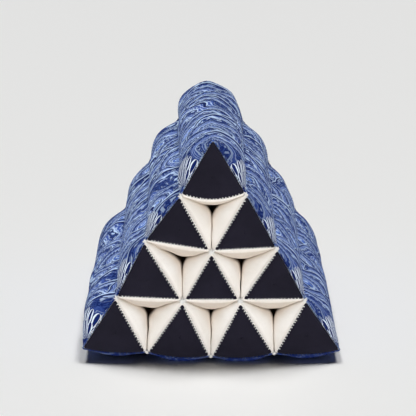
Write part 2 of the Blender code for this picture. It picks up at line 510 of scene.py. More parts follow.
class Value:
    """A number inside a material, so that shader maths reads like a formula."""

    def __init__(self, net: Net, socket: Any) -> None:
        """Keeps the material's net and the socket that carries the number."""
        self.net = net
        self.socket = socket

    def maths(self, operation: str, *others: Value | float) -> Value:
        """Adds one Math node.

        Args:
            operation: what the node does.
            others: its other inputs, after this value.

        Returns:
            The node's result.
        """
        inputs = {0: self}
        inputs.update({index + 1: other for index, other in enumerate(others)})
        node = self.net.node("ShaderNodeMath", {"operation": operation}, inputs)
        return Value(self.net, node.outputs[0])

    def __add__(self, other: Value | float) -> Value:
        """Returns self + other."""
        return self.maths("ADD", other)

    __radd__ = __add__

    def __sub__(self, other: Value | float) -> Value:
        """Returns self - other."""
        return self.maths("SUBTRACT", other)

    def __rsub__(self, other: float) -> Value:
        """Returns other - self."""
        return (self * -1.0) + other

    def __mul__(self, other: Value | float) -> Value:
        """Returns self * other."""
        return self.maths("MULTIPLY", other)

    __rmul__ = __mul__

    def __truediv__(self, other: Value | float) -> Value:
        """Returns self / other."""
        return self.maths("DIVIDE", other)

    def __abs__(self) -> Value:
        """Returns the size of this value without its sign."""
        return self.maths("ABSOLUTE")

    def sin(self) -> Value:
        """Returns the sine of this value."""
        return self.maths("SINE")

    def floor(self) -> Value:
        """Returns this value rounded down."""
        return self.maths("FLOOR")

    def fract(self) -> Value:
        """Returns this value less its whole part."""
        return self.maths("FRACT")

    def root(self) -> Value:
        """Returns the square root of this value."""
        return self.maths("SQRT")

    def most(self, other: Value | float) -> Value:
        """Returns the larger of two values."""
        return self.maths("MAXIMUM", other)

    def angle(self, across: Value) -> Value:
        """Returns the angle whose tangent is self / across, right round the circle."""
        return self.maths("ARCTAN2", across)

    def ramp(self, low: float, high: float) -> Value:
        """Adds a smooth step.

        Args:
            low: where it starts to rise.
            high: where it is full.

        Returns:
            0 below `low`, 1 above `high`, and 3 t^2 - 2 t^3 for the share t between them.
        """
        node = self.net.node(
            "ShaderNodeMapRange",
            {"interpolation_type": "SMOOTHSTEP"},
            {"Value": self, "From Min": low, "From Max": high},
        )
        return Value(self.net, node.outputs["Result"])

    def line(self, at: float, half: float, soft: float = 0.0003) -> Value:
        """Returns 1 within `half` of `at`, fading to 0 over `soft` on both sides."""
        return 1.0 - abs(self - at).ramp(half, half + soft)


class Net:
    """The node tree of one material."""

    def __init__(self, name: str) -> None:
        """Makes a material with a Principled BSDF and an output.

        Args:
            name: the material's name.
        """
        self.material = bpy.data.materials.new(name)
        self.material.use_nodes = True
        self.tree = self.material.node_tree
        self.shader = self.tree.nodes["Principled BSDF"]

    def node(self, kind: str, settings: dict[str, Any] | None = None,
             inputs: dict[Any, Any] | None = None) -> bpy.types.Node:
        """Adds a node.

        Args:
            kind: the node's type.
            settings: its own settings, put in place first.
            inputs: a value, colour, Value or socket for each input, by name or number.

        Returns:
            The node.
        """
        made = self.tree.nodes.new(kind)
        for key, setting in (settings or {}).items():
            setattr(made, key, setting)
        for key, given in (inputs or {}).items():
            self.feed(made.inputs[key], given)
        return made

    def feed(self, socket: Any, given: Any) -> None:
        """Puts a link or a plain value into an input.

        Args:
            socket: the input.
            given: a Value, a socket, a number or a colour.
        """
        if isinstance(given, Value):
            given = given.socket
        if isinstance(given, bpy.types.NodeSocket):
            self.tree.links.new(given, socket)
        elif isinstance(given, (int, float)) and socket.type == "RGBA":
            socket.default_value = (given, given, given, 1.0)
        elif isinstance(given, tuple) and socket.type == "RGBA":
            socket.default_value = (*given[:3], 1.0)
        else:
            socket.default_value = given

    def mix(self, share: Value | float, low: Any, high: Any) -> Any:
        """Adds a mix of two colours.

        Args:
            share: 0 for all of `low`, 1 for all of `high`.
            low: the first colour or its socket.
            high: the second colour or its socket.

        Returns:
            The socket of the mixed colour.
        """
        made = self.node("ShaderNodeMix", {"data_type": "RGBA"}, {0: share, 6: low, 7: high})
        return made.outputs[2]

    def cloth_uv(self) -> tuple[Value, Value]:
        """Adds the cloth coordinates.

        Returns:
            The coordinate across and the one along, in metres.
        """
        uv = self.node("ShaderNodeUVMap", {"uv_map": "cloth"})
        parts = self.node("ShaderNodeSeparateXYZ", None, {0: uv.outputs[0]})
        return Value(self, parts.outputs[0]), Value(self, parts.outputs[1])

    def point(self, x: Value | float, y: Value | float, z: Value | float = 0.0) -> Any:
        """Returns a vector from three numbers."""
        return self.node("ShaderNodeCombineXYZ", None, {0: x, 1: y, 2: z}).outputs[0]

    def place(self) -> Any:
        """Returns the Object coordinates."""
        return self.node("ShaderNodeTexCoord").outputs["Object"]

    def end_depth(self) -> Value:
        """Returns how far the point lies behind the nearer end of the cushion."""
        parts = self.node("ShaderNodeSeparateXYZ", None, {"Vector": self.place()})
        return LATTICE.length / 2 - abs(Value(self, parts.outputs["Y"]))

    def height(self) -> Value:
        """Returns how high the point lies over the floor."""
        parts = self.node("ShaderNodeSeparateXYZ", None, {"Vector": self.place()})
        return Value(self, parts.outputs["Z"])

    def noise(self, vector: Any, scale: float, detail: float = 2.0) -> Value:
        """Adds a noise.

        Args:
            vector: the socket of the coordinates it reads.
            scale: about how many bumps there are in one unit of them.
            detail: how many finer layers it has.

        Returns:
            The noise, from 0 to 1.
        """
        made = self.node(
            "ShaderNodeTexNoise", None, {"Vector": vector, "Scale": scale, "Detail": detail}
        )
        return Value(self, made.outputs[0])

    def bump(self, height: Value, strength: float, distance: float, under: Any = None) -> Any:
        """Adds a bump.

        Args:
            height: the height, from about 0 to 1.
            strength: how much of the bend is used.
            distance: the height of 1, in metres.
            under: the normal that it bends, the surface's own if left out.

        Returns:
            The socket of the bent normal.
        """
        inputs = {"Height": height, "Strength": strength, "Distance": distance}
        if under is not None:
            inputs["Normal"] = under
        return self.node("ShaderNodeBump", None, inputs).outputs[0]

    def finish(self, **sockets: Any) -> bpy.types.Material:
        """Feeds the shader.

        Args:
            sockets: what each of its inputs gets, with _ for a space in the input's name.

        Returns:
            The material.
        """
        for name, given in sockets.items():
            self.feed(self.shader.inputs[name.replace("_", " ")], given)
        return self.material


def weave_height(u: Value, v: Value, pitch: float) -> Value:
    """Height of a plain weave: threads across and along that pass over each other in turn.

    Args:
        u: the cloth coordinate across.
        v: the cloth coordinate along.
        pitch: distance from thread to thread.

    Returns:
        The larger of two rounded thread profiles, each lifted where its cross wave is high.
    """
    a = u * (math.pi / pitch)
    b = v * (math.pi / pitch)
    cross = a.sin() * b.sin()
    return (abs(a.sin()) * (cross * 0.5 + 0.5)).most(abs(b.sin()) * (0.5 - cross * 0.5))


@dataclass(frozen=True)
class PaintedPocketShade:
    """Painted shade on the channels' cotton where it lines an open pocket."""

    # All three tints are painted shade: one on the base wall, a warmer one deeper in and a dark one
    # deepest inside.
    under: Colour
    painted_warm_shade: Colour
    deep: Colour

    def over(self, net: Net, u: Value, tone: Any) -> Any:
        """Lays the painted shade tints over the cotton's own colour.

        Args:
            net: the cotton's nodes.
            u: the cloth coordinate round the channel, one lattice side a wall.
            tone: the cotton's own colour.

        Returns:
            The colour with painted shade: the under tint on the base wall, then warmer behind the end
                and dark deep inside.
        """
        side = LATTICE.side
        on_base = u.ramp(side * 1.02, side * 1.10) * (1.0 - u.ramp(side * 1.90, side * 1.98))
        depth = net.end_depth()
        # Painted shade: the base wall, which hangs over the pocket below it, takes the under tint just
        # behind the end.
        tone = net.mix(on_base * depth.ramp(-0.0003, 0.0012) * 0.9, tone, self.under)
        # Painted shade: the walls turn warmer with depth behind the end.
        tone = net.mix(depth.ramp(0.001, 0.018) * 0.55, tone, self.painted_warm_shade)
        # Painted shade: deep inside the pocket the walls turn dark brown.
        return net.mix(depth.ramp(0.016, 0.036), tone, self.deep)


@dataclass(frozen=True)
class PlainCotton:
    """A plain dyed or unbleached cotton with a visible weave and soft unevenness."""

    name: str
    colour: Colour
    shade: Colour
    thread: float
    roughness: float
    lift: float
    pocket: PaintedPocketShade | None = None

    def material(self) -> bpy.types.Material:
        """Makes the finish.

        Returns:
            The material: two close shades in clouds and slubs, over a woven bump.
        """
        net = Net(self.name)
        u, v = net.cloth_uv()
        place = net.place()
        cloud = net.noise(place, 26.0, 3.0).ramp(0.36, 0.66)
        slub = net.noise(net.point(u * 900.0, v * 90.0), 1.0, 2.0)
        tone = net.mix(cloud * 0.7, self.colour, self.shade)
        tone = net.mix(slub.ramp(0.42, 0.72) * 0.25, tone, self.shade)
        # Painted shade inside the open pockets.
        if self.pocket is not None:
            tone = self.pocket.over(net, u, tone)
        weave = weave_height(u, v, self.thread)
        low = net.bump(net.noise(place, 75.0, 2.0), 0.30, 0.0030)
        normal = net.bump(weave + slub * 0.4, self.lift, self.thread * 0.6, low)
        return net.finish(
            Base_Color=tone,
            Roughness=self.roughness,
            Specular_IOR_Level=0.1,
            Normal=normal,
        )


CREAM_COTTON = PlainCotton(
    name="cream_cotton",
    colour=(0.920, 0.880, 0.835),
    shade=(0.860, 0.805, 0.740),
    thread=0.0008,
    roughness=0.92,
    lift=0.35,
    # Painted shade tints for the open pockets.
    pocket=PaintedPocketShade(
        under=(0.540, 0.465, 0.390), painted_warm_shade=(0.780, 0.665, 0.555), deep=(0.130, 0.075, 0.045)
    ),
)
NAVY_COTTON = PlainCotton(
    name="black_navy_cotton",
    colour=(0.0145, 0.0130, 0.0230),
    shade=(0.0110, 0.0100, 0.0175),
    thread=0.0006,
    roughness=0.9,
    lift=0.3,
)


@dataclass(frozen=True)
class Thread:
    """A stitching thread."""

    name: str
    colour: Colour

    def material(self) -> bpy.types.Material:
        """Makes the finish.

        Returns:
            The material: plies that twist round the thread, with painted shade a little darker between
                them.
        """
        net = Net(self.name)
        u, v = net.cloth_uv()
        ply = ((u + v * 1.5) * (6 * math.pi)).sin()
        # Painted shade: the grooves between the plies are darkened.
        darker = tuple(0.8 * part for part in self.colour)
        return net.finish(
            Base_Color=net.mix(ply.ramp(-1.0, 0.2) * 0.3, darker, self.colour),
            Roughness=0.75,
            Specular_IOR_Level=0.3,
            Normal=net.bump(ply, 0.4, 0.0003),
        )


CREAM_THREAD = Thread("cream_thread", (0.95, 0.935, 0.90))
DARK_THREAD = Thread("dark_thread", (0.02, 0.022, 0.045))


Wave = tuple[Value, Value, Value]


@dataclass(frozen=True)
class BluePrint:
    """A blue cotton printed with overlapping waves, leaf drops and edge fans."""

    name: str = "blue_figured_print"
    ground: Colour = (0.008, 0.019, 0.118)
    middle: Colour = (0.052, 0.098, 0.390)
    pale: Colour = (0.122, 0.232, 0.670)
    line: Colour = (0.61, 0.78, 1.0)
    bright: Colour = (0.80, 0.89, 1.0)
    column: float = 0.1035
    drop: float = 0.108
    radius: float = 0.074
    band: float = 0.0220
    line_pitch: float = 0.0040
    eye: float = 0.0115
    lean: float = 0.42
    sway: float = 2.4
    curl: float = 12.0
    length: float = 0.500
    lobes: float = 4.0
    thread: float = 0.0006
    fan_way: tuple[float, float] = (0.90, 0.436)
    leaf_rings: tuple[tuple[float, float, float, float], ...] = (
        (15.0, 0.021, 0.049, 0.54), (10.0, 0.002, 0.029, 0.62),
    )

    def material(self) -> bpy.types.Material:
        """Makes the finish.

        Returns:
            The material: waves, with painted shade near the floor, the ends and the right slope, and
                the fans over them.
        """
        net = Net(self.name)
        u, v = net.cloth_uv()
        wander = net.point(u, v)
        du = (net.noise(wander, 14.0, 1.0) - 0.5) * 0.045
        dv = (net.noise(net.point(v + 3.0, u), 12.0, 1.0) - 0.5) * 0.045
        tone, height = self.waves(net, u + du, v + dv)
        weave = weave_height(u, v, self.thread)
        cloud = net.noise(net.place(), 30.0, 2.0).ramp(0.38, 0.62)
        tone = net.mix(cloud * 0.22, tone, self.ground)
        # Painted shade: darker towards the floor.
        tone = net.mix((1.0 - net.height().ramp(0.0, 0.13)) * 0.42, tone, self.ground)
        # Painted shade: the right slope, where u is above 0, a little darker.
        tone = net.mix(u.ramp(0.0, 0.02) * 0.22, tone, self.ground)
        # Painted shade: darker near the ends, where the cover turns towards the caps.
        tone = net.mix((1.0 - net.end_depth().ramp(0.004, 0.034)) * 0.50, tone, self.ground)
        tone = self.fans(net, u, v, tone)
        return net.finish(
            Base_Color=tone,
            Roughness=1.0,
            Specular_IOR_Level=0.05,
            Normal=net.bump(weave + height * 0.2, 0.25, 0.0004),
        )

    def wave(self, net: Net, x: Value, y: Value, column: Value, level: Value) -> Wave:
        """One wave: a set of leaning, curling ovals that share their focus.

        Args:
            net: the print's nodes.
            x: distance across from the wave's focus.
            y: distance along from the wave's focus.
            column: the wave's column.
            level: the wave's level, counted along.

        Returns:
            The ovals' size r * (1 + e * sin(angle - lean - curl * r)), the angle round the
            focus, and a number from 0 to 1 that differs from wave to wave.
        """
        r = (x * x + y * y).root()
        angle = y.angle(x)
        draw = net.node("ShaderNodeTexWhiteNoise", None, {"Vector": net.point(column, level, 0.5)})
        chance = Value(net, draw.outputs["Value"])
        leaning = (angle - (chance - 0.5) * self.sway - r * self.curl).sin()
        return r * (1.0 + self.lean * leaning), angle, chance

    def waves_of_level(self, net: Net, u: Value, v: Value, level: Value, behind: Wave) -> Wave:
        """Lays the two nearest waves of one level over what lies behind them.

        Args:
            net: the print's nodes.
            u: the cloth coordinate across.
            v: the cloth coordinate along.
            level: which level it is.
            behind: the wave that shows where neither of the two reaches.

        Returns:
            The wave that shows. Where both reach a point, the one with the higher number does.
        """
        across = u / self.column - (level * 0.5).fract()
        column = (across + 0.5).floor()
        off = across - column
        beside = column + off.maths("SIGN")
        y = v - level * (self.drop / 2)
        near = self.wave(net, off * self.column, y, column, level)
        other = self.wave(net, (across - beside) * self.column, y, beside, level)
        reach_near = near[0].maths("LESS_THAN", self.radius)
        reach_other = other[0].maths("LESS_THAN", self.radius)
        other_first = other[2].maths("GREATER_THAN", near[2])
        use_near = reach_near * (1.0 - reach_other * other_first)
        use_other = reach_other * (1.0 - use_near)
        rest = 1.0 - use_near - use_other
        return tuple(a * use_near + b * use_other + c * rest for a, b, c in zip(near, other, behind))

    def waves(self, net: Net, u: Value, v: Value) -> tuple[Any, Value]:
        """Draws overlapping waves, each level in front of the one behind it.

        Args:
            net: the print's nodes.
            u: the cloth coordinate across.
            v: the cloth coordinate along.

        Returns:
            The colour, and a mask of the pale lines.
        """
        base = (v / (self.drop / 2)).floor()
        shown = (v * 0.0 + 0.05, v * 20.0, v * 0.0 + 0.3)
        for step in (2.0, 1.0, 0.0, -1.0):
            shown = self.waves_of_level(net, u, v, base + step, shown)
        size, angle, chance = shown
        fine = net.noise(net.point(u, v, 2.0), 55.0, 2.0) - 0.5
        grown = size + fine * 0.013
        bands = grown / self.band + chance * 3.0
        share = bands.fract()
        turning = (angle + bands.floor() * 2.4 + chance * 6.0).sin()
        crescent = share - 0.56 - turning * 0.20
        dark = 1.0 - crescent.ramp(-0.02, 0.02)
        threads = (grown / self.line_pitch).fract()
        stipple = net.noise(net.point(u, v), 330.0, 0.0).ramp(0.50, 0.58)
        hatch = (angle * 40.0 + share * 7.0).sin().ramp(0.0, 0.8)
        tone = net.mix(dark, self.middle, self.ground)
        tone = net.mix(stipple * (1.0 - dark) * 0.35, tone, self.pale)
        tone = net.mix(stipple * dark * 0.45, tone, self.pale)
        tone = net.mix(hatch * crescent.ramp(0.16, 0.22) * 0.35, tone, self.pale)
        light = crescent.line(0.05, 0.05, 0.02)
        fine_lines = threads.line(0.5, 0.11, 0.07) * (1.0 - dark)
        pearls = crescent.line(-0.16, 0.05, 0.02) * (angle * 24.0).sin().ramp(0.2, 0.6)
        stems = threads.line(0.5, 0.06, 0.06) * dark * fine.ramp(-0.02, 0.04) * 0.6
        eye = 1.0 - size.ramp(self.eye, self.eye + 0.0004)
        petals = (angle * 3.0).sin()
        bloom = size - petals * petals * 0.006 - 0.007
        tone = net.mix(eye, tone, self.ground)
        tone = net.mix(1.0 - bloom.ramp(0.0, 0.0006), tone, self.pale)
        edge = (size - (self.radius - 0.0060)).ramp(0.0, 0.0004)
        lines = light.most(fine_lines * 0.88).most(pearls).most(stems) * (1.0 - eye) * (1.0 - edge)
        lines = lines.most(size.line(self.eye, 0.0009)).most(size.line(self.radius - 0.0010, 0.0010))
        lines = lines.most(size.line(0.0040, 0.0009))
        tone = net.mix(edge, tone, self.ground)
        return net.mix(lines * 0.9, tone, self.line), lines

    def fans(self, net: Net, u: Value, v: Value, tone: Any) -> Any:
        """Draws a fan of leaves at each end of every lobe, over the waves, and lays painted shade on
        the base strip.

        Args:
            net: the print's nodes.
            u: the cloth coordinate across.
            v: the cloth coordinate along.
            tone: the colour of the waves.

        Returns:
            The colour with the fans on it, and painted shade beyond the last lobe.
        """
        lobe = abs(u) / self.column
        above = 1.0 - lobe.ramp(self.lobes - 0.001, self.lobes)
        far = v.maths("GREATER_THAN", self.length * 0.5)
        key = net.point(lobe.floor(), u.maths("SIGN"), far + 0.5)
        draw = net.node("ShaderNodeTexWhiteNoise", None, {"Vector": key})
        chance = Value(net, draw.outputs["Value"])
        x = (0.91 - chance * 0.10 - lobe.fract()) * self.column
        y = (self.length * 0.5 - abs(v - self.length * 0.5) - 0.006) * 1.05
        ahead, aside = self.fan_way
        axis = x * ahead + y * aside
        over = y * ahead - x * aside
        r = (axis * axis + over * over).root() * (1.15 - chance * 0.25)
        angle = over.angle(axis)
        forward = (1.0 - abs(angle).ramp(1.45, 1.60)) * above
        backing = 1.0 - (r + (1.0 - forward)).ramp(0.038, 0.050)
        tone = net.mix(backing, tone, self.ground)
        for count, start, stop, outline in self.leaf_rings:
            spread = abs((angle * (count / math.pi) + 0.5).fract() - 0.5)
            reach = (r - start) / (stop - start)
            width = (reach * (1.0 - reach)).most(0.0).root() * 0.92
            inside = (width - spread).ramp(0.0, 0.04) * forward
            leaf = (width * outline - spread).ramp(0.0, 0.05)
            tone = net.mix(inside, tone, self.bright)
            tone = net.mix(leaf * inside, tone, self.ground)
        # Painted shade: the cover under the base, beyond the slopes' lobes, is darkened.
        return net.mix((1.0 - above) * 0.45, tone, self.ground)


@dataclass
class Channel:
    """One stuffed channel of cream cotton."""

    row: int
    place: int
    across: int = 34
    lengthwise: int = 110
    crowding: float = 0.90
    rim: float = 0.0026
    rim_rise: float = 0.0011
    dome: float = 0.0030
    inset: float = 0.0002
    under_cover: float = 0.0045
    off_floor: float = 0.0016
    rim_steps: tuple[float, ...] = (0.25, 0.5, 0.75, 1.0, 1.5, 4.0, 8.0)
    pucker_pitch: float = 0.0052
    pucker_height: float = 0.00022
    pucker_reach: float = 0.007
    fold_size: float = 0.030
    fold_height: float = 0.0006

    def build(self) -> bpy.types.Object:
        """Builds the channel's closed skin.

        Returns:
            The piece: three walls, two rims and two domed ends. The walls lie a little inside
            the lattice's, and deeper where the printed cover lies over them.
        """
        y = end_stations(LATTICE.length, self.lengthwise, self.crowding)
        along = np.arange(self.across) / self.across
        walls = [LATTICE.wall(self.row, self.place, side, y, along) for side in Side]
        section = np.concatenate(walls, axis=1)
        under = [LATTICE.tip(self.row, self.place, side) is None for side in Side]
        sunk = np.repeat(np.where(under, 1.0, 0.0), self.across)
        edge = (2 * np.tile(along, 3) - 1) ** 4
        sunk = self.under_cover * sunk * (1 - 0.65 * edge)
        if self.row == 1:
            ridge = np.minimum(np.arange(len(sunk)), len(sunk) - np.arange(len(sunk)))
            sunk = sunk + self.under_cover * np.exp(-((ridge / self.across / 0.35) ** 2))
        heart = np.stack([
            LATTICE.seam(*at, y)
            for at in ((self.row - 1, self.place), (self.row, self.place), (self.row, self.place + 1))
        ]).mean(axis=0)[:, None]
        inward = self.inset + sunk * (0.5 + 0.5 * swell(LATTICE.depth(y), 0.016)[:, None])
        section = section - inward[..., None] * unit(section - heart)
        body = to_space(section, y)
        body = body + self.wrinkles(body)
        body[..., 2] = np.maximum(body[..., 2], self.off_floor)
        front = self.end_grid(body[0], heart[0, 0], End.FRONT)
        back = self.end_grid(body[-1], heart[-1, 0], End.BACK)
        points = np.concatenate([front[::-1], body, back], axis=0)
        run = np.linalg.norm(np.diff(points, axis=0), axis=2).mean(axis=1)
        round_it = np.arange(points.shape[1] + 1) * LATTICE.side / self.across
        spans = (np.concatenate([[0], run.cumsum()]), round_it)
        name = f"stuffed_channel_{self.row}_{self.place}"
        return grid_piece(name, points, wrap=True, poles=True, spans=spans)

    def wrinkles(self, body: Array) -> Array:
        """Puckers that run in from the end seams, and a soft unevenness of the stuffing.

        Args:
            body: the walls as a grid of places.

        Returns:
            Moves along the surface's normal: waves round the section that fade with the depth
            behind the end, plus smooth noise that fades to nothing at the seams.
        """
        normal = surface_normals(body, wrap=True)
        depth = LATTICE.depth(body[..., 1])
        share = (np.arange(body.shape[1]) / self.across) % 1.0
        inner = np.clip(4 * share * (1 - share), 0, 1)[None]
        round_it = np.arange(body.shape[1]) * LATTICE.side / self.across
        seed = 10 * self.row + self.place
        waver = soft_noise(body[..., [0, 2]], 0.018, seed)
        pucker = np.sin(2 * math.pi * round_it[None] / self.pucker_pitch + 1.6 * waver)
        pucker *= self.pucker_height * np.exp(-depth / self.pucker_reach) * np.clip(depth / 0.002, 0, 1)
        fold = soft_noise(body * np.array([1.0, 0.45, 1.0]), self.fold_size, seed + 50)
        fold *= self.fold_height * np.clip(depth / 0.01, 0, 1)
        return (inner * (pucker + fold))[..., None] * normal

    def end_grid(self, ring: Array, heart: Array, end: End) -> Array:
        """The rim and the domed end inside a ring.

        Args:
            ring: the section where the walls start.
            heart: (X, Z) of the channel's middle.
            end: which end it is.

        Returns:
            Rings from just inside the given one to near the middle. Each is the first one
            drawn in evenly, and it stands out by half a wave over the rim and then the dome.
        """
        middle = np.array([heart[0], ring[0, 1], heart[1]])
        radius = LATTICE.side / (2 * math.sqrt(3))
        rims = np.array(self.rim_steps) * self.rim
        kept = np.concatenate([1 - rims / radius, [0.5, 0.3, 0.12]])
        drawn = middle + kept[:, None, None] * (ring - middle)
        rise = self.rim_rise * np.sin(math.pi * np.clip((1 - kept) * radius / self.rim, 0, 1))
        open_side = [LATTICE.tip(self.row, self.place, side) is not None for side in Side]
        rise = rise[:, None] * np.repeat(np.where(open_side, 1.0, -0.5), self.across)
        stand = rise + self.dome * (1 - kept[:, None] ** 3)
        drawn[..., 1] += end.value * stand
        return drawn

    def dress(self, piece: bpy.types.Object, cotton: bpy.types.Material) -> None:
        """Puts the cotton on, hides the solid that it stands for and fixes the piece to the root body.

        Args:
            piece: the stuffed channel.
            cotton: its finish.
        """
        piece.data.materials.append(cotton)
        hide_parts(f"channel_{self.row}_{self.place}")
        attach(piece, ROOT)


@dataclass
class Cap:
    """One dark triangle sewn over the end of a channel."""

    row: int
    place: int
    end: End
    points_a_side: int = 60
    inner_inset: float = 0.0030
    outer_inset: float = 0.0012
    rounding: float = 0.0022
    dome: float = 0.0030
    stand: float = 0.0006
    thickness: float = 0.0010
    scallop: float = 0.0006
    stitch: float = 0.0050
    tuck: float = 0.0006
    lump_size: float = 0.030
    lump_height: float = 0.0003
    rings: tuple[float, ...] = (1.0, 0.985, 0.96, 0.9, 0.78, 0.62, 0.45, 0.28, 0.12)

    def y(self) -> float:
        """Returns the Y of the end plane."""
        return self.end.value * LATTICE.length / 2

    def corners(self) -> Array:
        """Finds where the channel's three seams end.

        Returns:
            (X, Z) of the top, the left and the right seam.
        """
        y = np.array([self.y()])
        at = ((self.row - 1, self.place), (self.row, self.place), (self.row, self.place + 1))
        return np.concatenate([LATTICE.seam(*corner, y) for corner in at])

    def insets(self) -> Array:
        """Returns how far each edge lies inside its wall: left, base and right."""
        return np.array([
            self.outer_inset if LATTICE.tip(self.row, self.place, side) is None else self.inner_inset
            for side in Side
        ])

    def drawn_in(self, corners: Array, inset: Array) -> Array:
        """Draws a triangle in.

        Args:
            corners: (X, Z) of its three corners.
            inset: how far inside the old edge each new edge lies.

        Returns:
            The new corners, each where the lines of two new edges cross.
        """
        run = np.roll(corners, -1, axis=0) - corners
        inward = unit(np.stack([-run[:, 1], run[:, 0]], axis=1))
        level = (inward * corners).sum(axis=1) + inset
        pairs = ([index - 1, index] for index in range(len(corners)))
        return np.array([np.linalg.solve(inward[pair], level[pair]) for pair in pairs])

    def outline(self) -> Array:
        """The cap's edge: a triangle with rounded corners, bowed under the top cap.

        Returns:
            (X, Z) round the edge, blurred along itself by the rounding, with small scallops
            where the stitches pull it in.
        """
        corners = self.drawn_in(self.corners(), self.insets())
        along = (np.arange(self.points_a_side) / self.points_a_side)[:, None]
        sides = []
        for index, side in enumerate(Side):
            run = corners[(index + 1) % 3] - corners[index]
            outward = unit(np.array([run[1], -run[0]]))
            bow = LATTICE.bow(self.row, self.place, side)
            length = float(np.linalg.norm(run))
            tug = self.scallop * np.cos(2 * math.pi * along * round(length / self.stitch))
            tug = tug * (4 * along * (1 - along))
            height = bow * (1 - (2 * along - 1) ** 2) + tug
            sides.append(corners[index] + along * run + height * outward)
        edge = np.concatenate(sides)
        step = LATTICE.side / self.points_a_side
        reach = np.arange(-6, 7)
        kernel = np.exp(-0.5 * (reach * step / self.rounding) ** 2)
        kernel /= kernel.sum()
        return sum(w * np.roll(edge, int(k), axis=0) for w, k in zip(kernel, reach))

    def build(self) -> bpy.types.Object:
        """Builds the cap as rings drawn in from its edge.

        Returns:
            The piece: it stands out by a cubic dome over the stuffing, less a tuck that
            falls off quickly behind the edge.
        """
        edge = self.outline()
        heart = self.corners().mean(axis=0)
        kept = np.array(self.rings)
        rings = heart + kept[:, None, None] * (edge - heart)
        tuck = self.tuck * np.exp(-(1 - kept) / 0.02)
        stand = self.stand + self.dome * (1 - (0.93 * kept) ** 3) - tuck
        flat = np.stack([
            rings[..., 0],
            np.broadcast_to((self.y() + self.end.value * stand)[:, None], rings.shape[:2]),
            rings[..., 1],
        ], axis=-1)
        lump = soft_noise(flat[..., [0, 2]], self.lump_size, 7 * self.row + self.place)
        flat[..., 1] += self.lump_height * lump * (1 - kept[:, None])
        name = f"{self.end.name.lower()}_cap_{self.row}_{self.place}"
        middle = flat[-1:].mean(axis=1, keepdims=True)
        order = flat if self.end is End.BACK else flat[:, ::-1]
        closed = np.concatenate([order, np.broadcast_to(middle, order[:1].shape)], axis=0)
        piece = grid_piece(name, closed[::-1], wrap=True)
        self.flatten_uv(piece)
        give_thickness(piece, self.thickness)
        return piece

    def flatten_uv(self, piece: bpy.types.Object) -> None:
        """Lays the weave flat: the UV of each face corner is its own X and Z.

        Args:
            piece: the cap.
        """
        mesh = piece.data
        corner = np.empty(len(mesh.loops), dtype=np.int64)
        mesh.loops.foreach_get("vertex_index", corner)
        at = np.empty(len(mesh.vertices) * 3, dtype=np.float32)
        mesh.vertices.foreach_get("co", at)
        flat = at.reshape(-1, 3)[corner][:, [0, 2]]
        mesh.uv_layers["cloth"].data.foreach_set("uv", flat.ravel())

    def dress(self, piece: bpy.types.Object, cotton: bpy.types.Material) -> None:
        """Puts the cotton on, hides the solid that it stands for and fixes the piece to the root body.

        Args:
            piece: the cap.
            cotton: its finish.
        """
        piece.data.materials.append(cotton)
        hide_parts(f"cap_{self.end.name.lower()}_{self.row}_{self.place}")
        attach(piece, ROOT)
        corners = self.corners()


